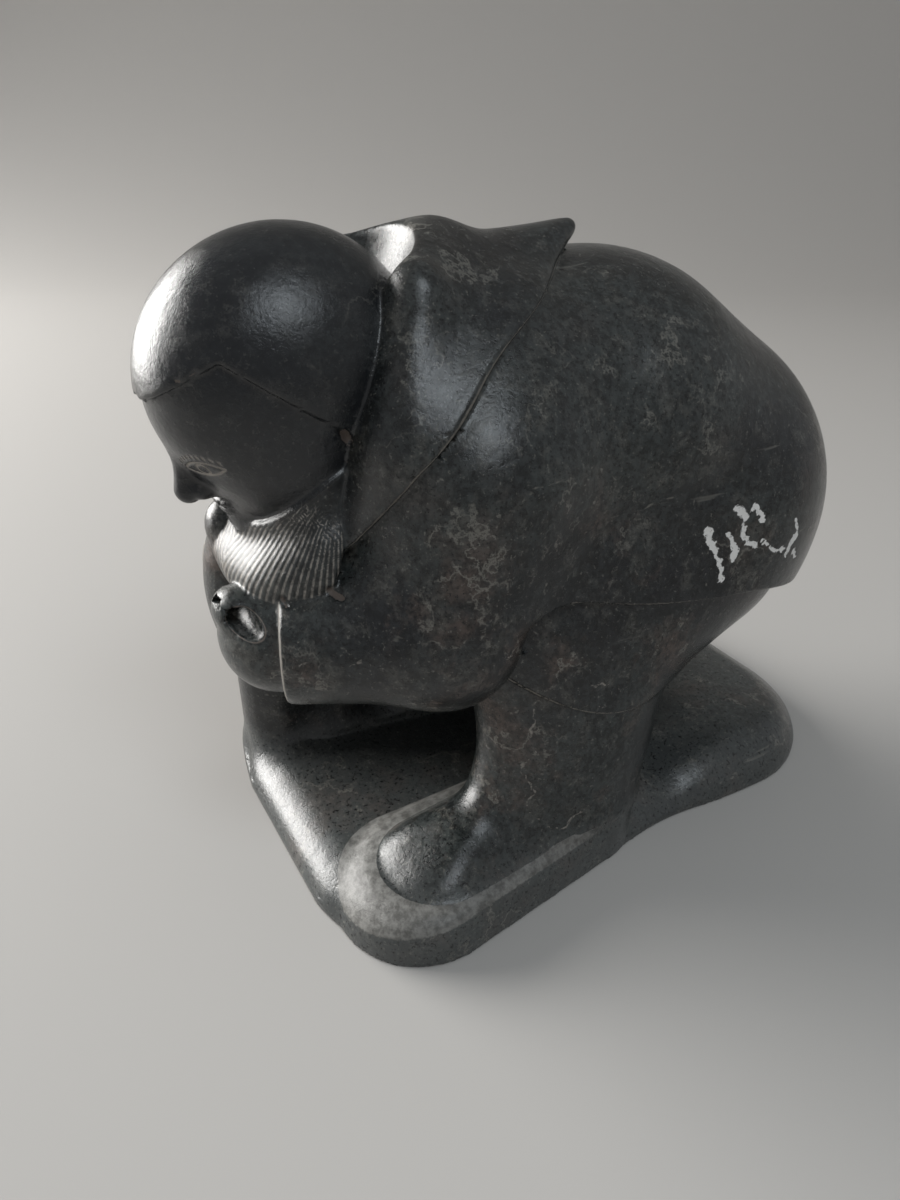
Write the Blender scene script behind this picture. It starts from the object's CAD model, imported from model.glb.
import math
import bpy
import numpy as np
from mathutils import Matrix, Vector


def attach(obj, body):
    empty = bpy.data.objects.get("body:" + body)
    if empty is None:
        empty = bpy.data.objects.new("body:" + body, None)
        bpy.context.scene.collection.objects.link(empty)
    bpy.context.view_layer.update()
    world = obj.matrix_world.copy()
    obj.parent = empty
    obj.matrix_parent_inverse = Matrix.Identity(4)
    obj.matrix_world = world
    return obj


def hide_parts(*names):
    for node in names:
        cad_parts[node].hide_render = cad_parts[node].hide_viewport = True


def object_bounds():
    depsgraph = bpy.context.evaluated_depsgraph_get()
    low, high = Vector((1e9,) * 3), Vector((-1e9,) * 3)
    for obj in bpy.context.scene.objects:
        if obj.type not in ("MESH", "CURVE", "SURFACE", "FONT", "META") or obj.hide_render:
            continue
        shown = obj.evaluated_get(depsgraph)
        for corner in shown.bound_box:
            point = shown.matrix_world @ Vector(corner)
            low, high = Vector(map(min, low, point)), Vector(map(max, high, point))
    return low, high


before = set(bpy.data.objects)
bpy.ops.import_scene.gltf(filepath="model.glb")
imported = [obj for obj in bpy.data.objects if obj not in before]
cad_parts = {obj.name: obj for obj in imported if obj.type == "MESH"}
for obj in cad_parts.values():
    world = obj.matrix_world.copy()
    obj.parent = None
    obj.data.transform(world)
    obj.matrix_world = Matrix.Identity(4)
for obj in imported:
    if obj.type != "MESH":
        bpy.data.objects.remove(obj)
cad_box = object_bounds()

# Grid of the fine surface, in millimetres
CELL = 3.0
GRID_LOW = (-96, -182, -1.2)
GRID_HIGH = (110, 146, 272)
SLAB = 6
SLOPE_STEP = 0.06
LONGEST_MOVE = 1.5

# Wanted edge lengths, in millimetres, and when a longer edge is split
EDGE_PLAIN = 9.0
EDGE_BEARD = 0.72
EDGE_EYE = 0.55
EDGE_MARKS = 1.1
EDGE_HOLE = 0.8
EDGE_TOOL = 1.7
EDGE_STEP = 1.4
EDGE_SLACK = 1.4
SHARP_BEND = 0.955

# Widths of the usual blends between two forms, in millimetres
SOFT = 20
TIGHT = 2

# Block, in millimetres: sizes and places as in the part's source, with finer seams
BASE_HALF_WIDTH = 84
BASE_FRONT = 147
BASE_REAR = 139
BASE_FRONT_CORNER = 46
BASE_REAR_CORNER = 62
BASE_THICKNESS = 17
BASE_ROUNDING = 22
BASE_EDGE = 5
BASE_WAIST = (4, 18, 30)
BASE_BULGE = (9, -95, 42)
BASE_VALLEY = (5, 18, 16)
BASE_LOBE = 6
LOBE_START = 30
LOBE_RUN = 110

# Steps and creases of the clothes, and the hem's and the boots' lines
HAIR_STEP = 2.2
BEARD_STEP = 1.8
HOOD_STEP = 4.0
HEM_STEP = 2.0
HEM_ROUND = 1.5
BOOT_STEP = 1.6
SEAM = 1.2
CREASE_DEPTH = 2.0
CREASE_WIDTH = 6.0
HEM_TOP = 150
HEM_FRONT_FALL = 29
HEM_REAR_FALL = 26
BOOT_LINE = 79.5
BOOT_LINE_BEND = 0.0062
BOOT_LINE_LOW = -5

# Torso: centres and half axes
SEAT = ((0, 53, 140), (84, 78, 80))
BACK = ((0, 8, 180), (76, 76, 69))
SHOULDERS = ((0, -54, 184), (72, 64, 66))
CHEST = ((0, -96, 150), (44, 34, 48))
BELLY = ((0, -34, 142), (72, 78, 42))
CREASE = ((-66, 154), (24, 170))

# Head, beard and the thirds of the face
HEAD_TILT = math.radians(20)
HEAD = ((0, -125, 218), (42, 51, 47))
JAW_AHEAD = 9
JAW_BELOW = 16
JAW_HALF = (38, 34, 43)
BEARD = ((20, -129, 163), (26, 33, 32))
BEARD_FRONT = ((0, -130, 158), (30, 30, 28))
THIRD = 20
EYE_OUT = 16
BROW = -7
NOSE_BASE = BROW - THIRD
MOUTH = NOSE_BASE - THIRD / 3
CHIN = NOSE_BASE - THIRD

# Hood
HOOD_RIDGE = ((0, -60, 236), (0, -3, 249), 17, 10)
COLLAR_BACK = (0, -66, 251)
COLLAR_SIDE = (31, -90, 244)
COLLAR_FRONT = (44, -104, 206)
COLLAR_RADIUS = 10
HOOD_TIP = (0, 6, 258)
HOOD_RIM_NORMAL = (0.338, 0.609, -0.718)
HOOD_RIM_DIP = 4.5
HOOD_RIM_DROP = 4.5
HOOD_FRONT_TOP = (-101, 246)
HOOD_FRONT_SLOPE = 0.46
HOOD_HOLLOW = ((0, -102, 268), (32, 27, 42))

# Arms and hands
SHOULDER = (48, -74, 178)
SHOULDER_RADIUS = 33
ELBOW = (52, -90, 127)
ELBOW_RADIUS = 29
WRIST = (31, -137, 124)
WRIST_RADIUS = 23.5
CUFF_AHEAD = 7
FIST = ((19, -142, 124), (25, 23, 23))
THUMB = ((28, -142, 139), (19, -155, 138), 8, 7)
KNOB = ((17, -157, 137), (11, 8.6, 8.6))
SOCKET = (9, -157.5, 137.5)
SOCKET_RADIUS = 4.5
FAR_HAND = ((-28, -141, 121), (17, 16, 36))
FAR_THUMB = ((-20, -146, 153), (10, 9, 12))

# Legs, pad and the supports
ANKLE = ((56, -28, 52), (29, 46, 50))
KNEE = ((50, -18, 104), (30, 60, 50))
THIGH = ((42, 32, 116), (36, 66, 38))
FOOT = ((63, -98, 0), (54, -20, 0), 26, 26)
FOOT_RISE = 20
TOE_TIP = -125
TOE_SLOPE = 0.42
SOLE = 21
PAD = ((60.5, -105.5, 0), (54, -25, 0), 36.5, 31)
PAD_DROP = 5
PAD_ROUNDING = 7
PAD_FLARE = 1
COLUMN = ((-63, -109, 52), (21, 31, 60), 20)
WEB = ((0, 12, 60), (42, 42, 76))

# Camera, worked out from the printed lattice of the paper, its place in camera heights
CAMERA_HEIGHT = 0.300
CAMERA_PLACE = (0.985, -0.755, 1.0)
CAMERA_PITCH = math.radians(30)
CAMERA_TURN = math.radians(30)
FOCAL_PIXELS = 870
IMAGE_HEIGHT = 1200
SENSOR = 36

# Paper sweep, in metres
FLAT_PAPER = 1.2
NEAR_PAPER = 3.0
PAPER_BEND = 0.8
PAPER_TOP = 3.0
PAPER_HALF_WIDTH = 3
PAPER_BELOW = 0.0004
BEND_START = 0.05
BEND_STEPS = 24


def length(*parts):
    return np.sqrt(sum(part * part for part in parts))


def smooth_union(a, b, k):
    h = np.maximum(k - np.abs(a - b), 0) / k
    return np.minimum(a, b) - h * h * k * 0.25


def smooth_common(a, b, k):
    return -smooth_union(-a, -b, k)


def band(gap, width):
    return np.exp(-((gap / width) ** 2))


def swell(y, shape):
    size, middle, width = shape
    return size * band(y - middle, width)


def ellipsoid(x, y, z, shape):
    centre, half = shape
    u, v, w = x - centre[0], y - centre[1], z - centre[2]
    near = length(u / half[0], v / half[1], w / half[2])
    far = length(u / half[0] ** 2, v / half[1] ** 2, w / half[2] ** 2)
    return near * (near - 1) / np.maximum(far, 1e-6)


def round_cone(x, y, z, start, end, start_radius, end_radius):
    bx, by, bz = (end[i] - start[i] for i in range(3))
    px, py, pz = x - start[0], y - start[1], z - start[2]
    t = np.clip((px * bx + py * by + pz * bz) / (bx * bx + by * by + bz * bz), 0, 1)
    gap = length(px - bx * t, py - by * t, pz - bz * t)
    return gap - (start_radius + (end_radius - start_radius) * t)


def rounded_box(x, y, z, centre, half, rounding):
    u = np.abs(x - centre[0]) - half[0] + rounding
    v = np.abs(y - centre[1]) - half[1] + rounding
    w = np.abs(z - centre[2]) - half[2] + rounding
    outside = length(np.maximum(u, 0), np.maximum(v, 0), np.maximum(w, 0))
    return outside + np.minimum(np.maximum(np.maximum(u, v), w), 0) - rounding


def base_outline(x, y):
    bulge = np.where(x > 0, swell(y, BASE_BULGE), 0)
    corner = np.where(y < 0, BASE_FRONT_CORNER, BASE_REAR_CORNER)
    u = np.abs(x) - (BASE_HALF_WIDTH - swell(y, BASE_WAIST) + bulge) + corner
    v = np.where(y < 0, -y - BASE_FRONT, y - BASE_REAR) + corner
    return length(np.maximum(u, 0), np.maximum(v, 0)) + np.minimum(np.maximum(u, v), 0) - corner


def base(x, y, z):
    outline = base_outline(x, y)
    inset = np.clip(-outline / BASE_ROUNDING, 0, 1)
    rise = np.sqrt(1 - (1 - inset) ** 2)
    valley = swell(y, BASE_VALLEY) * np.clip((x - 30) / 40, 0, 1)
    lobe = BASE_LOBE * np.sin(np.clip((y - LOBE_START) / LOBE_RUN, 0, 1) * math.pi)
    top = np.maximum((BASE_THICKNESS - valley + lobe) * rise, BASE_EDGE)
    return smooth_common(outline, (z - top) * 0.75, TIGHT)


def foot_outline(x, y):
    return round_cone(x, y, 0 * x, *FOOT)


def foot(x, y, z):
    outline = foot_outline(x, y)
    across = np.clip(outline / FOOT[2] + 1, 0, 2)
    roof = (z - SOLE - FOOT_RISE * (1 - across ** 1.4)) * 0.7
    instep = (z - SOLE - TOE_SLOPE * (y - TOE_TIP)) * 0.9
    wedge = smooth_common(roof, instep, 5)
    return smooth_common(smooth_common(wedge, outline, 0.6), SOLE - 3 - z, 1)


def pad_rim(x, y, z):
    return round_cone(x, y, 0 * x, *PAD) - PAD_FLARE * np.clip(1 - z / SOLE, 0, 1)


def pad(x, y, z):
    beyond = np.clip(foot_outline(x, y) / 12, 0, 1.5)
    top = z - SOLE + PAD_DROP * beyond * beyond
    return smooth_common(pad_rim(x, y, z), top * 0.85, PAD_ROUNDING)


def boot_line(y):
    return BOOT_LINE + BOOT_LINE_BEND * np.minimum(y - BOOT_LINE_LOW, 0) ** 2


def hem_line(y):
    front = np.clip((y + 72) / 100, 0, 1) ** 0.55
    rear = np.clip((y - 30) / 90, 0, 1) ** 1.5
    return HEM_TOP - HEM_FRONT_FALL * front - HEM_REAR_FALL * rear


def leg(x, y, z):
    shaft = smooth_union(ellipsoid(x, y, z, ANKLE), ellipsoid(x, y, z, KNEE), SOFT)
    shaft = smooth_union(shaft, ellipsoid(x, y, z, THIGH), SOFT)
    shaft = shaft + BOOT_STEP * np.clip((boot_line(y) - z) / 2 + 0.5, 0, 1)
    return smooth_union(shaft, foot(x, y, z), SOFT)


def crease_gap(y, z):
    start, end = CREASE
    dy, dz = end[0] - start[0], end[1] - start[1]
    t = np.clip(((y - start[0]) * dy + (z - start[1]) * dz) / (dy * dy + dz * dz), 0, 1)
    return length(y - start[0] - dy * t, z - start[1] - dz * t)


def torso(x, y, z):
    mass = smooth_union(ellipsoid(x, y, z, SEAT), ellipsoid(x, y, z, BACK), 16)
    mass = smooth_union(mass, ellipsoid(x, y, z, SHOULDERS), 16)
    s = np.abs(x)
    mass = mass + CREASE_DEPTH * band(crease_gap(y, z), CREASE_WIDTH) * np.clip(s / 40, 0, 1)
    mass = smooth_union(mass, ellipsoid(x, y, z, CHEST), SOFT)
    mass = smooth_union(mass, ellipsoid(x, y, z, BELLY), SOFT)
    thighs = smooth_union(ellipsoid(s, y, z, KNEE), ellipsoid(s, y, z, THIGH), SOFT)
    mass = smooth_union(mass, thighs - HEM_STEP, 12)
    return smooth_common(mass, hem_line(y) - z, HEM_ROUND)


def hood_rim(x, y, z):
    n = HOOD_RIM_NORMAL
    dip = HOOD_RIM_DIP * band(z - 228, 16)
    dip = dip - HOOD_RIM_DROP * np.clip((195 - z) / 28, 0, 1)
    return n[0] * np.abs(x) + n[1] * (y - HOOD_TIP[1]) + n[2] * (z - HOOD_TIP[2]) + dip


def hood(x, y, z, cloth):
    shell = smooth_union(cloth - HOOD_STEP, round_cone(x, y, z, *HOOD_RIDGE), 14)
    s = np.abs(x)
    collar = smooth_union(
        round_cone(s, y, z, COLLAR_BACK, COLLAR_SIDE, COLLAR_RADIUS, COLLAR_RADIUS),
        round_cone(s, y, z, COLLAR_SIDE, COLLAR_FRONT, COLLAR_RADIUS, COLLAR_RADIUS), 6)
    front = (HOOD_FRONT_TOP[0] - (HOOD_FRONT_TOP[1] - z) * HOOD_FRONT_SLOPE - y) * 0.87
    rim_round = 3 + 7 * np.clip((z - 240) / 12, 0, 1)
    panel = smooth_common(smooth_union(shell, collar, SOFT), hood_rim(x, y, z), rim_round)
    panel = smooth_common(panel, front, 14)
    return smooth_common(panel, -ellipsoid(x, y, z, HOOD_HOLLOW), TIGHT)


def into_head(x, y, z):
    v, w = y - HEAD[0][1], z - HEAD[0][2]
    s, c = math.sin(HEAD_TILT), math.cos(HEAD_TILT)
    return x, -v * c - w * s, -v * s + w * c


def jaw_mass(side, ahead, up):
    return ellipsoid(side, ahead, up, ((0, JAW_AHEAD, -JAW_BELOW), JAW_HALF))


def below_hair(side, ahead, up):
    fringe = 13 + 8 * np.clip(side / 30, 0, 1) ** 1.5 - up
    temple = (21 - 1.43 * (24 - ahead) - up) / 1.75
    return np.maximum(np.minimum(fringe, temple), -24 - up)


def face(side, ahead, up, jaw):
    s = np.abs(side)
    nose = round_cone(side, ahead, up, (0, 41, BROW + 2), (0, 49, NOSE_BASE + 4), 3.6, 5.2)
    wing = ellipsoid(s, ahead, up, ((4.6, 44, NOSE_BASE + 3), (4, 5, 3.6)))
    brow = round_cone(s, ahead, up, (4, 41, BROW + 1), (23, 32, BROW + 1), 3.2, 2.6)
    socket = ellipsoid(s, ahead, up, ((EYE_OUT, 42, BROW - 5), (10, 6, 5.5)))
    eye = ellipsoid(s, ahead, up, ((EYE_OUT, 32.4, BROW - 5.5), (8.4, 6.4, 4.4)))
    chin = ellipsoid(side, ahead, up, ((0, 33, CHIN + 4), (11, 9, 8)))
    upper_lip = ellipsoid(side, ahead, up, ((0, 39.5, MOUTH + 1.6), (9.5, 4, 2)))
    lower_lip = ellipsoid(side, ahead, up, ((0, 38.6, MOUTH - 2.2), (8, 4.2, 2.4)))
    flesh = smooth_union(jaw, chin, 8)
    flesh = smooth_union(flesh, brow, 4)
    flesh = smooth_common(flesh, -socket, 4)
    flesh = smooth_union(flesh, eye, 1.2)
    flesh = smooth_union(flesh, smooth_union(nose, wing, TIGHT), 4)
    return smooth_union(flesh, np.minimum(upper_lip, lower_lip), 1.2)


def head(x, y, z):
    side, ahead, up = into_head(x, y, z)
    skull = ellipsoid(side, ahead, up, ((0, 0, 0), HEAD[1]))
    hair = smooth_common(skull, below_hair(np.abs(side), ahead, up), TIGHT)
    skin = face(side, ahead, up, jaw_mass(side, ahead, up))
    return np.minimum(hair, smooth_union(skull + HAIR_STEP, skin, 5))


def beard_edge(ahead):
    beyond = np.maximum(ahead - 32, 0)
    return 27.5 + 0.0095 * np.clip(ahead, 0, 32) ** 2 + 7.3 * (1 - np.exp(-beyond / 12))


def beard(x, y, z):
    lobes = smooth_union(ellipsoid(x, y, z, BEARD), ellipsoid(-x, y, z, BEARD), 24)
    lobes = smooth_union(lobes, ellipsoid(x, y, z, BEARD_FRONT), 14)
    side, ahead, up = into_head(x, y, z)
    edge = up + beard_edge(ahead)
    lobes = smooth_common(lobes, (edge + 5) * 0.8, 22)
    mass = smooth_union(lobes, jaw_mass(side, ahead, up) - BEARD_STEP, 10)
    rear = (y + 115 + (190 - z) * 0.3) * 0.95
    return smooth_common(smooth_common(mass, edge * 0.8, 1.5), rear, 3)


def past_cuff(x, y):
    dx, dy = WRIST[0] - ELBOW[0], WRIST[1] - ELBOW[1]
    return ((x - WRIST[0]) * dx + (y - WRIST[1]) * dy) / math.hypot(dx, dy) - CUFF_AHEAD


def arm(x, y, z):
    upper = round_cone(x, y, z, SHOULDER, ELBOW, SHOULDER_RADIUS, ELBOW_RADIUS)
    fore = round_cone(x, y, z, ELBOW, WRIST, ELBOW_RADIUS, WRIST_RADIUS)
    return smooth_common(smooth_union(upper, fore, 12), past_cuff(x, y), TIGHT)


def hands(x, y, z):
    fist = smooth_union(ellipsoid(x, y, z, FIST), round_cone(x, y, z, *THUMB), 3)
    fist = smooth_union(fist, ellipsoid(x, y, z, KNOB), 3)
    hole = length(y - SOCKET[1], z - SOCKET[2]) - SOCKET_RADIUS
    near = smooth_common(fist, -np.maximum(hole, SOCKET[0] - x), 1.1)
    far = smooth_union(ellipsoid(x, y, z, FAR_HAND), ellipsoid(x, y, z, FAR_THUMB), 3)
    return np.minimum(near, far)


def stone(x, y, z):
    lower = smooth_union(base(x, y, z), pad(x, y, z), 1.5)
    lower = smooth_union(lower, leg(x, y, z), 1)
    lower = smooth_union(lower, leg(-x, y, z), TIGHT)
    lower = smooth_union(lower, ellipsoid(x, y, z, WEB), 12)
    lower = smooth_union(lower, rounded_box(x, y, z, *COLUMN), 14)
    upper = smooth_union(torso(x, y, z), np.minimum(arm(x, y, z), arm(-x, y, z)), 22)
    upper = smooth_union(upper, hood(x, y, z, upper), TIGHT)
    upper = smooth_union(upper, hands(x, y, z), TIGHT)
    whole = smooth_union(lower, upper, TIGHT)
    whole = smooth_union(whole, beard(x, y, z), SEAM)
    whole = smooth_union(whole, head(x, y, z), SEAM)
    return np.maximum(whole, -z)


# Triangles of the field's surface, one point in each cell that it crosses
def polygonise():
    axes = [np.arange(GRID_LOW[i], GRID_HIGH[i] + CELL, CELL) for i in range(3)]
    x, y, z = np.meshgrid(*axes, indexing="ij")
    slabs = [stone(x[i:i + SLAB], y[i:i + SLAB], z[i:i + SLAB]) for i in range(0, len(x), SLAB)]
    values = np.concatenate(slabs).ravel()
    shape = x.shape
    stride = (shape[1] * shape[2], shape[2], 1)
    index = np.arange(values.size).reshape(shape)
    total = np.zeros((values.size, 3))
    count = np.zeros(values.size)
    quads = []
    for axis in range(3):
        start = np.take(index, range(shape[axis] - 1), axis=axis).ravel()
        a, b = values[start], values[start + stride[axis]]
        crossed = (a < 0) != (b < 0)
        start, a, b = start[crossed], a[crossed], b[crossed]
        place = np.stack([x.ravel()[start], y.ravel()[start], z.ravel()[start]], axis=1)
        place[:, axis] += a / (a - b) * CELL
        u, w = stride[(axis + 1) % 3], stride[(axis + 2) % 3]
        ring = np.stack([start - u - w, start - w, start, start - u], axis=1)
        for corner in range(4):
            np.add.at(total, ring[:, corner], place)
            np.add.at(count, ring[:, corner], 1)
        quads.append(np.where((a < 0)[:, None], ring, ring[:, ::-1]))
    used = np.flatnonzero(count)
    number = np.zeros(values.size, dtype=np.int64)
    number[used] = np.arange(used.size)
    points = total[used] / count[used, None]
    quads = number[np.concatenate(quads)]
    first = length(*(points[quads[:, 0]] - points[quads[:, 2]]).T)
    second = length(*(points[quads[:, 1]] - points[quads[:, 3]]).T)
    quads = np.where((first > second)[:, None], np.roll(quads, 1, axis=1), quads)
    return points, np.concatenate([quads[:, [0, 1, 2]], quads[:, [0, 2, 3]]])


def slope_at(points):
    x, y, z = points.T
    step = SLOPE_STEP
    return np.stack([
        stone(x + step, y, z) - stone(x - step, y, z),
        stone(x, y + step, z) - stone(x, y - step, z),
        stone(x, y, z + step) - stone(x, y, z - step)], axis=1) / (2 * step)


# Moves points along the slope on to the surface
def settle(points, rounds):
    for _ in range(rounds):
        slope = slope_at(points)
        move = stone(*points.T) / np.maximum((slope ** 2).sum(axis=1), 0.05)
        points = points - np.clip(move, -LONGEST_MOVE, LONGEST_MOVE)[:, None] * slope
    points[:, 2] = np.maximum(points[:, 2], 0)
    return points


def normals_at(points):
    slope = slope_at(points)
    return slope / np.maximum(length(*slope.T), 1e-6)[:, None]


# Splits the wanted edges in the middle, and each face with them
def split(points, faces, wanted):
    pairs = np.sort(np.stack([faces, np.roll(faces, -1, axis=1)], axis=2), axis=2).reshape(-1, 2)
    edges, where = np.unique(pairs, axis=0, return_inverse=True)
    where = where.reshape(-1, 3)
    chosen = wanted(edges)
    middle = np.full(len(edges), -1)
    middle[chosen] = len(points) + np.arange(chosen.sum())
    added = settle(points[edges[chosen]].mean(axis=1), rounds=2)
    flags = chosen[where]
    amount = flags.sum(axis=1)
    out = [faces[amount == 0]]
    for turn in range(3):
        v = np.roll(faces, -turn, axis=1)
        m = middle[np.roll(where, -turn, axis=1)]
        f = np.roll(flags, -turn, axis=1)
        one = f[:, 0] & (amount == 1)
        out.append(np.stack([v[one, 0], m[one, 0], v[one, 2]], axis=1))
        out.append(np.stack([m[one, 0], v[one, 1], v[one, 2]], axis=1))
        two = f[:, 0] & f[:, 1] & (amount == 2)
        out.append(np.stack([m[two, 0], v[two, 1], m[two, 1]], axis=1))
        out.append(np.stack([v[two, 0], m[two, 0], m[two, 1]], axis=1))
        out.append(np.stack([v[two, 0], m[two, 1], v[two, 2]], axis=1))
    v, m = faces[amount == 3], middle[where[amount == 3]]
    for corner in range(3):
        out.append(np.stack([v[:, corner], m[:, corner], m[:, corner - 1]], axis=1))
    out.append(m)
    return np.concatenate([points, added]), np.concatenate(out)


def edge_target(x, y, z):
    target = np.full(x.shape, EDGE_PLAIN)
    target = np.where(beard(x, y, z) < 0.7, EDGE_BEARD, target)
    side, ahead, up = into_head(x, y, z)
    eye = length(np.abs(side) - EYE_OUT, up - BROW + EYE_DROP) < 11
    target = np.where(eye & (ahead > 25), EDGE_EYE, target)
    target = np.where(np.abs(hole_gap(x, y, z)) < 2, np.minimum(target, EDGE_HOLE), target)
    target = np.where(tool_gap(x, y, z) < 1.4, np.minimum(target, EDGE_TOOL), target)
    return np.where(marks_gap(x, y, z) < 1.6, np.minimum(target, EDGE_MARKS), target)


def refine(points, faces):
    for _ in range(3):
        normals = normals_at(points)

        def wanted(edges):
            a, b = points[edges[:, 0]], points[edges[:, 1]]
            size = length(*(a - b).T)
            bend = (normals[edges[:, 0]] * normals[edges[:, 1]]).sum(axis=1)
            turned = (bend < SHARP_BEND) & (size > EDGE_STEP)
            return turned | (size > edge_target(*((a + b) / 2).T) * EDGE_SLACK)

        points, faces = split(points, faces, wanted)
    return points, faces


# Marks and veins of the near side, as lines of Y and Z in millimetres
NEAR_SIDE = 20
CHALK_LINES = (
    ((17, 152), (22, 143), (24, 130)),
    ((26, 149), (31, 142), (30, 136)),
    ((30, 159), (35, 154), (33, 147), (39, 142)),
    ((38, 160), (42, 153)),
    ((44, 143), (50, 138), (58, 138)),
    ((62, 149), (63, 141), (59, 134)),
    ((65, 133), (68, 129)))
CRACK_LINE = (
    (-57, 94), (-60, 82), (-59, 70), (-63, 61), (-60, 50), (-62, 40), (-55, 31), (-46, 29), (-38, 34))
TICK_LINES = (
    ((-38, 99), (-30, 96), (-21, 92)),
    ((-36, 89), (-30, 88)),
    ((-84, 128), (-78, 127)),
    ((-148, 136), (-145, 137)),
    ((-149, 128), (-143, 130.5)),
    ((-133, 128), (-127, 131.5)))
VEIN_LINES = (
    ((-92, 188), (-90, 178), (-83, 183), (-76, 185), (-68, 190), (-60, 190), (-48, 184), (-37, 186)),
    ((-37, 186), (-28, 180), (-16, 172)),
    ((-30, 166), (-23, 163), (-12, 166), (2, 170)),
    ((-57, 121), (-60, 142), (-62, 150)))

# Small unpolished recesses: end points and radius of each
NICKS = (
    ((39, -119, 204), (37.5, -117, 201), 1.6),
    ((37, -116, 200), (36.5, -117.5, 193), 0.7),
    ((43, -130, 150), (48, -127.5, 148.5), 1.3),
    ((36, -145, 147), (38, -144.5, 145), 0.9),
    ((27, -161.5, 227), (26, -163, 225.5), 1.0),
    ((23, -166, 224), (22, -167, 224), 0.8))

# Gap stated where a mark doesn't reach, in millimetres
FAR_AWAY = 9.0

# Depths and widths of the cuts, in millimetres
HATCH_DEPTH = 0.26
EYE_DEPTH = 0.4
EYE_LINE_WIDTH = 0.42
CHALK_DEPTH = 0.3
CHALK_WIDTH = 0.8
CRACK_DEPTH = 0.35
CRACK_WIDTH = 0.5
NICK_DEPTH = 0.8
NICK_SLOPE = 1.2

# Incised eye, in millimetres about its middle
EYE_HALF = 8.6
EYE_DROP = 5.5
UPPER_LID = 3.4
LOWER_LID = 2.6
IRIS = 2.3


def wander(a, b):
    return 0.9 * np.sin(0.23 * a + 0.37 * b) + 0.4 * np.sin(1.3 * b - 0.8 * a)


def line_gap(y, z, line):
    best = np.full(y.shape, FAR_AWAY)
    for start, end in zip(line, line[1:]):
        dy, dz = end[0] - start[0], end[1] - start[1]
        t = np.clip(((y - start[0]) * dy + (z - start[1]) * dz) / (dy * dy + dz * dz), 0, 1)
        best = np.minimum(best, length(y - start[0] - dy * t, z - start[1] - dz * t))
    return best


def lines_gap(y, z, lines):
    v, w = y + wander(y, z), z + wander(z, y)
    return np.minimum.reduce([line_gap(v, w, line) for line in lines])


def marks_gap(x, y, z):
    gap = lines_gap(y, z, CHALK_LINES + TICK_LINES + (CRACK_LINE,))
    return np.minimum(np.where(x > NEAR_SIDE, gap, FAR_AWAY), np.abs(nick_gap(x, y, z)))


def nick_gap(x, y, z):
    gaps = [round_cone(x, y, z, start, end, radius, radius) for start, end, radius in NICKS]
    return np.minimum.reduce(gaps)


# Beard lines fan out from each ear and bend down with the fall of the hair
FAN_TOP = 193
FAN_AXIS = -116
FAN_RADIUS = 40
FAN_STEP = math.radians(2.7)
FAN_BEND = 0.35 / 60
FAN_START = 13
FAN_FADE = 12
LINE_POWER = 1.6


def fan(x, y, z):
    turn = np.arctan2(np.abs(x), -(y - FAN_AXIS))
    along = FAN_RADIUS * (math.pi / 2 - turn)
    down = FAN_TOP - z
    reach = length(along, down)
    return np.arctan2(along, down) + FAN_BEND * reach, reach


def hatch(x, y, z):
    angle, reach = fan(x, y, z)
    wobble = 0.5 * np.sin(reach / 9 + angle * 7)
    wave = 0.5 + 0.5 * np.cos(2 * math.pi * angle / FAN_STEP + wobble)
    return wave ** LINE_POWER * np.clip((reach - FAN_START) / FAN_FADE, 0, 1) * on_beard(x, y, z)


def on_beard(x, y, z):
    side, ahead, up = into_head(x, y, z)
    below_edge = np.clip((-beard_edge(ahead) - up) / 1.5, 0, 1)
    return np.clip(1 - beard(x, y, z) / 0.5, 0, 1) * below_edge


# Gap to the light lines left by the tool along the hood, the cuffs, the hem and the boots
def tool_gap(x, y, z):
    s = np.abs(x)
    rim = np.where((z > 160) & (y < 0) & (beard(x, y, z) > 1), hood_rim(x, y, z) + 0.3, FAR_AWAY)
    cuff = np.where((arm(s, y, z) < 0.7) & (z < 160), past_cuff(s, y) + 0.4, FAR_AWAY)
    hem = np.where((torso(x, y, z) < 0.8) & (z < 150), hem_line(y) - z - 0.2, FAR_AWAY)
    boot = np.where((s > 20) & (leg(s, y, z) < 1.2) & (y < 40), boot_line(y) - z, FAR_AWAY)
    return np.minimum.reduce([np.abs(rim), np.abs(cuff), np.abs(hem), np.abs(boot)])


def eye_line(x, y, z):
    side, ahead, up = into_head(x, y, z)
    u = (np.abs(side) - EYE_OUT) / EYE_HALF
    v = up - BROW + EYE_DROP
    arch = np.clip(1 - u ** 2, 0, 1)
    upper = np.abs(v - UPPER_LID * arch)
    lower = np.abs(v + LOWER_LID * arch)
    iris = np.abs(length(u * EYE_HALF, v) - IRIS)
    inside = (np.abs(u) < 1) & (ahead > 18)
    lashes = 0.5 + 0.5 * np.cos(u * 26)
    over = np.clip(1 - np.abs(v - UPPER_LID * arch - 2.6) / 1.6, 0, 1) * lashes * 0.7
    lines = band(np.minimum.reduce([upper, lower, iris]), EYE_LINE_WIDTH)
    return np.maximum(lines, over) * inside


def hole_gap(x, y, z):
    gap = length(y - SOCKET[1], z - SOCKET[2]) - SOCKET_RADIUS
    return np.where((x > SOCKET[0] - 1) & (x < 40), gap, FAR_AWAY)


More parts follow.
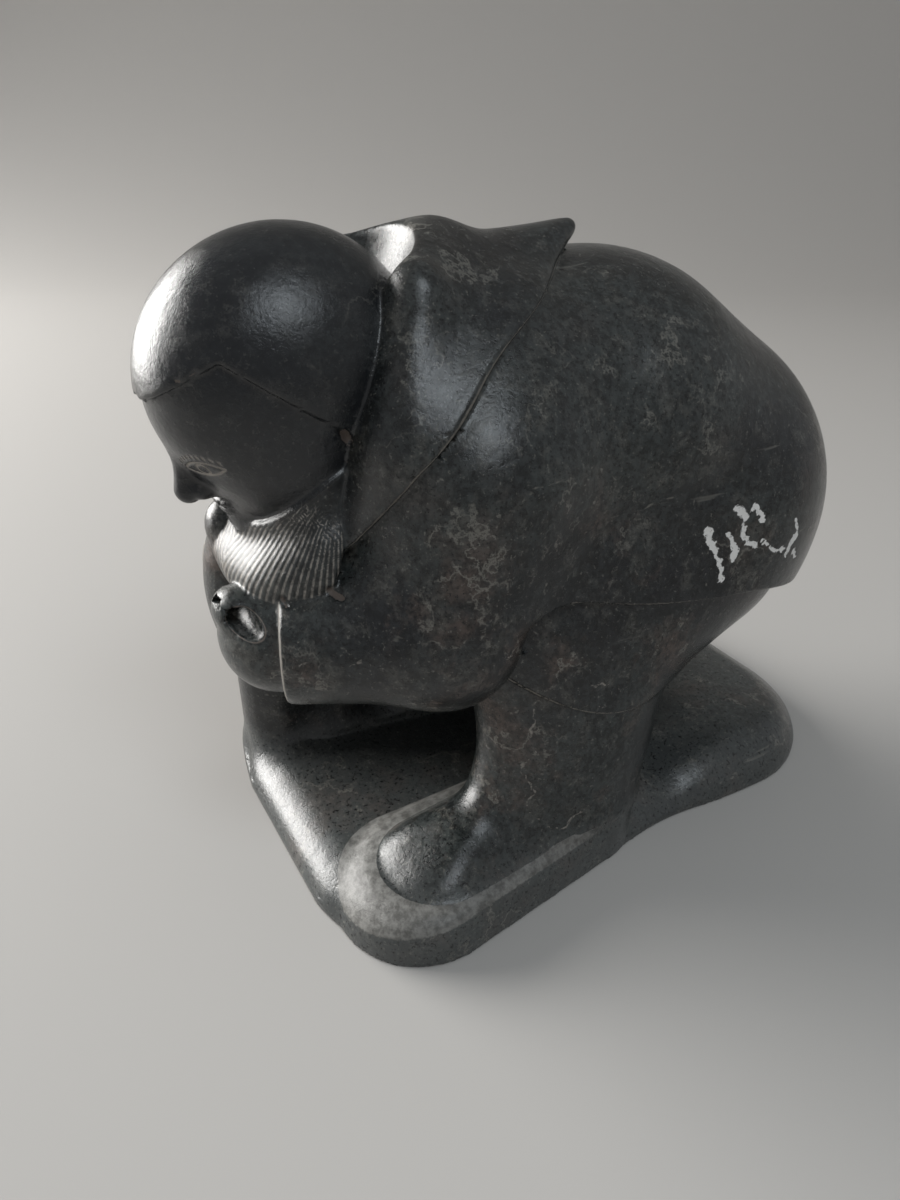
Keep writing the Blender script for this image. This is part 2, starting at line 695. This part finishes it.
def cut_depth(x, y, z):
    near = x > NEAR_SIDE
    cut = HATCH_DEPTH * hatch(x, y, z)
    cut = cut + EYE_DEPTH * eye_line(x, y, z)
    cut = cut + CHALK_DEPTH * band(lines_gap(y, z, CHALK_LINES), CHALK_WIDTH) * near
    cut = cut + CRACK_DEPTH * band(lines_gap(y, z, (CRACK_LINE,)), CRACK_WIDTH) * near
    return cut + NICK_DEPTH * np.clip(-nick_gap(x, y, z) / NICK_SLOPE + 0.4, 0, 1)


# Unpolished top of the pad: how far inside its border, in millimetres
def inside_matte(x, y, z):
    rim = pad_rim(x, y, z) + 1.6
    inside = np.minimum(foot_outline(x, y) - 0.2, -rim)
    inside = np.minimum(inside, (-22 - y) * 0.3)
    return np.where((z > 5) & (z < SOLE + 3), inside, -FAR_AWAY)


# Draws the surface in by fractions of a millimetre where it passes the solid's box
def into_box(places, low, high):
    shrink_high = np.minimum(high / places.max(axis=0), 1)
    shrink_low = np.minimum(np.where(low < -1, low, -1) / np.minimum(places.min(axis=0), -1), 1)
    places = np.where(places > 0, places * shrink_high, places * shrink_low)
    places[:, 2] = np.maximum(places[:, 2], 0)
    return places


points, faces = polygonise()
points = settle(points, rounds=4)
points, faces = refine(points, faces)
points = settle(points, rounds=2)
normals = normals_at(points)
depth = cut_depth(*points.T)
carved = points - normals * depth[:, None]
carved = into_box(carved, np.array(cad_box[0]) * 1000, np.array(cad_box[1]) * 1000)
print("surface", len(points), "points", len(faces), "triangles")

mesh = bpy.data.meshes.new("carving_surface")
mesh.vertices.add(len(carved))
mesh.vertices.foreach_set("co", (carved / 1000).astype(np.float32).ravel())
mesh.loops.add(len(faces) * 3)
mesh.loops.foreach_set("vertex_index", faces.astype(np.int32).ravel())
mesh.polygons.add(len(faces))
mesh.polygons.foreach_set("loop_start", np.arange(0, len(faces) * 3, 3, dtype=np.int32))
mesh.update(calc_edges=True)
mesh.validate()
mesh.shade_smooth()


def add_attribute(name, values):
    layer = mesh.attributes.new(name, "FLOAT", "POINT")
    layer.data.foreach_set("value", values.astype(np.float32))


# What the material reads: gaps and borders in millimetres, and shares from 0 to 1
px, py, pz = points.T
near_side = px > NEAR_SIDE
add_attribute("matte", inside_matte(px, py, pz))
add_attribute("chalk", np.where(near_side, lines_gap(py, pz, CHALK_LINES), FAR_AWAY))
scratches = lines_gap(py, pz, TICK_LINES + (CRACK_LINE,))
add_attribute("scratch", np.where(near_side, scratches, FAR_AWAY))
add_attribute("vein", np.where(near_side, lines_gap(py, pz, VEIN_LINES), FAR_AWAY))
add_attribute("tool", tool_gap(px, py, pz))
add_attribute("nick", np.clip(nick_gap(px, py, pz), -FAR_AWAY, FAR_AWAY))
add_attribute("hole", hole_gap(px, py, pz))
add_attribute("eye", eye_line(px, py, pz))
add_attribute("beard", on_beard(px, py, pz))
add_attribute("groove", hatch(px, py, pz))
add_attribute("head", np.clip(1.5 - head(px, py, pz), 0, 1))

carving = bpy.data.objects.new("carved_stone", mesh)
bpy.context.collection.objects.link(carving)


# Tones of the stone, the paper and the room's light, in linear light
DARK = (0.011, 0.012, 0.013, 1)
GREY = (0.030, 0.034, 0.033, 1)
BROWN = (0.052, 0.039, 0.033, 1)
CLOUDED = (0.068, 0.066, 0.058, 1)
WORN = (0.100, 0.107, 0.105, 1)
PIT = (0.003, 0.003, 0.003, 1)
PALE = (0.26, 0.25, 0.22, 1)
HEAD_TONE = (0.0075, 0.0090, 0.0115, 1)
SCRATCHED = (0.34, 0.31, 0.275, 1)
BARE = (0.15, 0.115, 0.095, 1)
MATTE_DARK = (0.085, 0.083, 0.076, 1)
MATTE_LIGHT = (0.21, 0.207, 0.195, 1)
CHALK = (0.74, 0.73, 0.71, 1)
PAPER = (0.50, 0.485, 0.465, 1)
ROOM_LIGHT = (0.97, 0.985, 1.0, 1)
ROOM_STRENGTH = 0.30
POLISH = 0.13
BUMP_STRENGTH = 0.36
BUMP_DISTANCE = 0.0012
STONE_IOR = 1.52


def node(tree, kind, place, **values):
    made = tree.nodes.new(kind)
    made.location = place
    for name, value in values.items():
        setattr(made, name, value)
    return made


def noise(tree, vector, scale, detail, rough, place):
    made = node(tree, "ShaderNodeTexNoise", place)
    made.inputs["Scale"].default_value = scale
    made.inputs["Detail"].default_value = detail
    made.inputs["Roughness"].default_value = rough
    tree.links.new(vector, made.inputs["Vector"])
    return made.outputs["Fac"]


def ramp(tree, value, low, high, place):
    made = node(tree, "ShaderNodeMapRange", place, interpolation_type="SMOOTHSTEP")
    made.inputs["From Min"].default_value = low
    made.inputs["From Max"].default_value = high
    tree.links.new(value, made.inputs["Value"])
    return made.outputs["Result"]


def join(tree, value, target):
    if isinstance(value, bpy.types.NodeSocket):
        tree.links.new(value, target)
    else:
        target.default_value = value


def mix(tree, factor, a, b, place):
    made = node(tree, "ShaderNodeMix", place, data_type="RGBA")
    join(tree, factor, made.inputs["Factor"])
    join(tree, a, made.inputs[6])
    join(tree, b, made.inputs[7])
    return made.outputs[2]


def maths(tree, operation, a, b, place, c=0.0):
    made = node(tree, "ShaderNodeMath", place, operation=operation)
    for value, target in zip((a, b, c), made.inputs):
        join(tree, value, target)
    return made.outputs[0]


def attribute(tree, name, place):
    return node(tree, "ShaderNodeAttribute", place, attribute_name=name).outputs["Fac"]


# A mark whose border wanders: full below the inner gap, gone beyond the outer one
def ragged(tree, gap, drift, amount, inner, outer, place):
    x, y = place
    shift = maths(tree, "MULTIPLY_ADD", drift, amount, (x, y), -amount / 2)
    return ramp(tree, maths(tree, "ADD", gap, shift, (x + 170, y)), outer, inner, (x + 340, y))


# A tone made darker or lighter, from low to high times itself as the value goes from 0 to 1
def shade(tree, tone, value, low, high, place):
    made = node(tree, "ShaderNodeVectorMath", place, operation="SCALE")
    tree.links.new(tone, made.inputs[0])
    tree.links.new(maths(tree, "MULTIPLY_ADD", value, high - low, place, low), made.inputs["Scale"])
    return made.outputs[0]


def scaled(tree, value, amount, place):
    return maths(tree, "MULTIPLY", value, amount, place)


def stretched(tree, vector):
    made = node(tree, "ShaderNodeMapping", (-1850, -700))
    made.inputs["Rotation"].default_value = (0.5, 0.3, 0.4)
    made.inputs["Scale"].default_value = (1.0, 0.12, 1.6)
    tree.links.new(vector, made.inputs["Vector"])
    return made.outputs["Vector"]


def stone_material():
    material = bpy.data.materials.new("polished_serpentine")
    material.use_nodes = True
    tree = material.node_tree
    surface = tree.nodes["Principled BSDF"]
    vector = node(tree, "ShaderNodeTexCoord", (-2000, 0)).outputs["Object"]
    height = node(tree, "ShaderNodeSeparateXYZ", (-1700, 500))
    tree.links.new(vector, height.inputs["Vector"])
    level = height.outputs["Z"]

    broad = noise(tree, vector, scale=12, detail=6, rough=0.62, place=(-1700, 300))
    patch = noise(tree, vector, scale=26, detail=8, rough=0.70, place=(-1700, 100))
    cloud = noise(tree, vector, scale=90, detail=8, rough=0.72, place=(-1700, -100))
    crumb = noise(tree, vector, scale=250, detail=6, rough=0.72, place=(-1700, -200))
    grain = noise(tree, vector, scale=620, detail=4, rough=0.7, place=(-1700, -300))
    crackle = noise(tree, vector, scale=19, detail=9, rough=0.64, place=(-1700, -500))
    along = stretched(tree, vector)
    scratch = noise(tree, along, scale=110, detail=3, rough=0.6, place=(-1700, -700))

    # Dark ground with brown and grey clouds, a worn band low down and pits
    tone = mix(tree, ramp(tree, broad, 0.38, 0.62, (-1400, 300)), DARK, GREY, (-1100, 300))
    low_down = ramp(tree, level, 0.20, 0.15, (-1400, 700))
    low_down = maths(tree, "MULTIPLY_ADD", low_down, 0.8, (-1200, 700), 0.2)
    browned = maths(tree, "MULTIPLY", ramp(tree, patch, 0.50, 0.66, (-1400, 100)), low_down, (-1200, 100))
    tone = mix(tree, browned, tone, BROWN, (-900, 300))
    fleck = scaled(tree, ramp(tree, cloud, 0.50, 0.64, (-1400, -100)), 0.48, (-1200, -100))
    tone = mix(tree, fleck, tone, CLOUDED, (-700, 300))
    tone = shade(tree, tone, ramp(tree, crumb, 0.36, 0.62, (-1400, -200)), 0.50, 1.45, (-600, 150))
    worn = scaled(tree, ramp(tree, level, 0.030, 0.018, (-1400, 500)), 0.5, (-1200, 500))
    tone = mix(tree, worn, tone, WORN, (-500, 300))
    pits = scaled(tree, ramp(tree, grain, 0.45, 0.36, (-1400, -300)), 0.8, (-1200, -300))
    tone = mix(tree, pits, tone, PIT, (-300, 300))

    # Veins, dust and hairline scratches, and the darker head
    ridge = maths(tree, "SUBTRACT", crackle, 0.5, (-1500, -500))
    ridge = maths(tree, "ABSOLUTE", ridge, 0.0, (-1350, -500))
    vein = ramp(tree, ridge, 0.012, 0.0, (-1200, -500))
    vein = maths(tree, "MULTIPLY", vein, ramp(tree, patch, 0.47, 0.60, (-1200, -650)), (-1000, -500))
    drawn = ragged(tree, attribute(tree, "vein", (-1400, -800)), crumb, 3.0, 0.0, 0.7, (-1200, -800))
    vein = maths(tree, "MAXIMUM", vein, drawn, (-600, -500))
    tone = mix(tree, scaled(tree, vein, 0.46, (-400, -500)), tone, PALE, (-100, 300))
    dust = scaled(tree, ramp(tree, grain, 0.60, 0.68, (-1200, -300)), 0.34, (-1000, -300))
    tone = mix(tree, dust, tone, PALE, (100, 300))
    hairline = scaled(tree, ramp(tree, scratch, 0.68, 0.74, (-1400, -700)), 0.26, (-1000, -700))
    tone = mix(tree, hairline, tone, PALE, (300, 300))
    headed = scaled(tree, attribute(tree, "head", (-1400, -950)), 0.66, (-1200, -950))
    tone = mix(tree, headed, tone, HEAD_TONE, (500, 300))

    # Pale grooves of the beard
    groove = ramp(tree, attribute(tree, "groove", (-1400, -1100)), 0.35, 0.85, (-1200, -1100))
    broken = ramp(tree, crumb, 0.40, 0.58, (-1200, -1250))
    broken = maths(tree, "MULTIPLY_ADD", broken, 0.7, (-1000, -1250), 0.3)
    fine = maths(tree, "MULTIPLY", groove, broken, (-700, -1100))
    tone = mix(tree, scaled(tree, fine, 0.75, (-100, -1100)), tone, SCRATCHED, (700, 300))

    # Lines of the tool and the eyes, nicks and the drilled hole's mouth
    tool = ragged(tree, attribute(tree, "tool", (-1400, -1700)), crumb, 1.2, 0.2, 0.7, (-1200, -1700))
    cut = ragged(tree, attribute(tree, "scratch", (-1400, -1850)), crumb, 2.4, 0.0, 0.5, (-1200, -1850))
    line = maths(tree, "MAXIMUM", tool, cut, (-600, -1700))
    line = scaled(tree, line, 0.55, (-450, -1700))
    eye = scaled(tree, attribute(tree, "eye", (-1400, -2000)), 0.9, (-1200, -2000))
    line = maths(tree, "MAXIMUM", line, eye, (-300, -1700))
    tone = mix(tree, line, tone, SCRATCHED, (900, 300))
    nick = ragged(tree, attribute(tree, "nick", (-1400, -2150)), crumb, 4.0, -0.6, -0.2, (-1200, -2150))
    mouth = maths(tree, "SUBTRACT", attribute(tree, "hole", (-1400, -2300)), 0.7, (-1300, -2300))
    mouth = maths(tree, "ABSOLUTE", mouth, 0.0, (-1200, -2300))
    mouth = ragged(tree, mouth, crumb, 1.0, 0.0, 0.3, (-1000, -2300))
    nick = maths(tree, "MAXIMUM", nick, mouth, (-600, -2150))
    nick = scaled(tree, nick, 0.6, (-450, -2150))
    tone = mix(tree, nick, tone, BARE, (1100, 300))

    # Unpolished top of the pad, and chalk
    inside = scaled(tree, attribute(tree, "matte", (-1400, -2450)), -1.0, (-1200, -2450))
    matte = ragged(tree, inside, grain, 1.2, -0.3, 0.2, (-1000, -2450))
    matte_tone = mix(tree, ramp(tree, crumb, 0.35, 0.65, (700, 100)), MATTE_DARK, MATTE_LIGHT, (900, 100))
    tone = mix(tree, matte, tone, matte_tone, (1300, 300))
    chalk = ragged(tree, attribute(tree, "chalk", (-1400, -2600)), crumb, 5.0, 0.9, 1.2, (-1200, -2600))
    chalk = maths(tree, "MULTIPLY", chalk, ramp(tree, grain, 0.30, 0.42, (-700, -2700)), (-500, -2600))
    tone = mix(tree, chalk, tone, CHALK, (1500, 300))
    tree.links.new(tone, surface.inputs["Base Color"])

    # Polish, dulled where the stone is cut or chalked
    rough = ramp(tree, cloud, 0.35, 0.70, (900, -100))
    rough = maths(tree, "MULTIPLY_ADD", rough, 0.16, (1100, -100), POLISH)
    dull = maths(tree, "MAXIMUM", scaled(tree, matte, 0.46, (700, -900)), chalk, (900, -900))
    dull = maths(tree, "MAXIMUM", dull, scaled(tree, nick, 1.2, (900, -1050)), (1050, -900))
    combed = scaled(tree, attribute(tree, "beard", (900, -1200)), 0.36, (1050, -1200))
    dull = maths(tree, "MAXIMUM", dull, maths(tree, "MAXIMUM", line, combed, (1200, -1050)), (1200, -900))
    tree.links.new(maths(tree, "MAXIMUM", rough, dull, (1400, -100)), surface.inputs["Roughness"])
    surface.inputs["IOR"].default_value = STONE_IOR

    # Shallow unevenness of the hand-rubbed surface
    relief = maths(tree, "MULTIPLY_ADD", grain, 0.30, (900, -300), cloud)
    relief = maths(tree, "ADD", relief, patch, (1050, -300))
    relief = maths(tree, "SUBTRACT", relief, scaled(tree, hairline, 0.8, (1050, -450)), (1350, -300))
    bump = node(tree, "ShaderNodeBump", (1500, -300))
    bump.inputs["Strength"].default_value = BUMP_STRENGTH
    bump.inputs["Distance"].default_value = BUMP_DISTANCE
    tree.links.new(relief, bump.inputs["Height"])
    tree.links.new(bump.outputs["Normal"], surface.inputs["Normal"])
    surface.location = (1750, 0)
    tree.nodes["Material Output"].location = (2050, 0)
    return material


def paper_material():
    material = bpy.data.materials.new("pale_paper")
    material.use_nodes = True
    surface = material.node_tree.nodes["Principled BSDF"]
    surface.inputs["Base Color"].default_value = PAPER
    surface.inputs["Roughness"].default_value = 0.8
    return material


# Sizes and distances in metres, power in watts, spread in degrees
def soft_light(name, direction, distance, width, height, power, colour, spread):
    data = bpy.data.lights.new(name, "AREA")
    data.shape = "RECTANGLE"
    data.size = width
    data.size_y = height
    data.energy = power
    data.color = colour
    data.spread = math.radians(spread)
    light = bpy.data.objects.new(name, data)
    heading = Vector(direction).normalized()
    light.location = Vector((0, 0, 0.13)) + heading * distance
    light.rotation_euler = (-heading).to_track_quat("-Z", "Y").to_euler()
    bpy.context.collection.objects.link(light)


carving.data.materials.append(stone_material())
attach(carving, "root")
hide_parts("carving")


# Paper sweep: flat under the stone, curving up well behind it as the camera sees it
def sweep_mesh():
    back = Vector((-math.cos(CAMERA_TURN), math.sin(CAMERA_TURN), 0))
    across = Vector((back.y, -back.x, 0))
    profile = [(-NEAR_PAPER, 0.0), (FLAT_PAPER, 0.0)]
    for angle in np.linspace(BEND_START, math.pi / 2, BEND_STEPS):
        reach = FLAT_PAPER + PAPER_BEND * math.sin(angle)
        profile.append((reach, PAPER_BEND - PAPER_BEND * math.cos(angle)))
    profile.append((FLAT_PAPER + PAPER_BEND, PAPER_TOP))
    rows = [back * reach + Vector((0, 0, rise - PAPER_BELOW)) for reach, rise in profile]
    corners = [row + across * side for row in rows for side in (-PAPER_HALF_WIDTH, PAPER_HALF_WIDTH)]
    quads = [(2 * i, 2 * i + 1, 2 * i + 3, 2 * i + 2) for i in range(len(rows) - 1)]
    made = bpy.data.meshes.new("paper_sweep")
    made.from_pydata(corners, [], quads)
    made.shade_smooth()
    return made


floor = bpy.data.objects.new("paper_sweep", sweep_mesh())
floor.data.materials.append(paper_material())
bpy.context.collection.objects.link(floor)

soft_light(
    "window", direction=(-0.78, -0.58, 0.22), distance=2.4, width=1.9, height=1.7,
    power=56.0, colour=(1.0, 0.985, 0.96), spread=110)
soft_light(
    "lamp", direction=(0.55, -0.10, 0.80), distance=1.1, width=0.36, height=0.36,
    power=3.0, colour=(0.86, 0.94, 1.0), spread=180)

world = bpy.data.worlds.new("room")
world.use_nodes = True
world.node_tree.nodes["Background"].inputs["Color"].default_value = ROOM_LIGHT
world.node_tree.nodes["Background"].inputs["Strength"].default_value = ROOM_STRENGTH
bpy.context.scene.world = world

lens = bpy.data.cameras.new("photo_camera")
lens.sensor_width = SENSOR
lens.lens = FOCAL_PIXELS / IMAGE_HEIGHT * SENSOR
camera = bpy.data.objects.new("photo_camera", lens)
camera.location = Vector(CAMERA_PLACE) * CAMERA_HEIGHT
forward = Vector((
    -math.cos(CAMERA_PITCH) * math.cos(CAMERA_TURN),
    math.cos(CAMERA_PITCH) * math.sin(CAMERA_TURN),
    -math.sin(CAMERA_PITCH)))
camera.rotation_euler = forward.to_track_quat("-Z", "Y").to_euler()
bpy.context.collection.objects.link(camera)
bpy.context.scene.camera = camera
bpy.context.scene.view_settings.view_transform = "Standard"

bpy.context.view_layer.update()
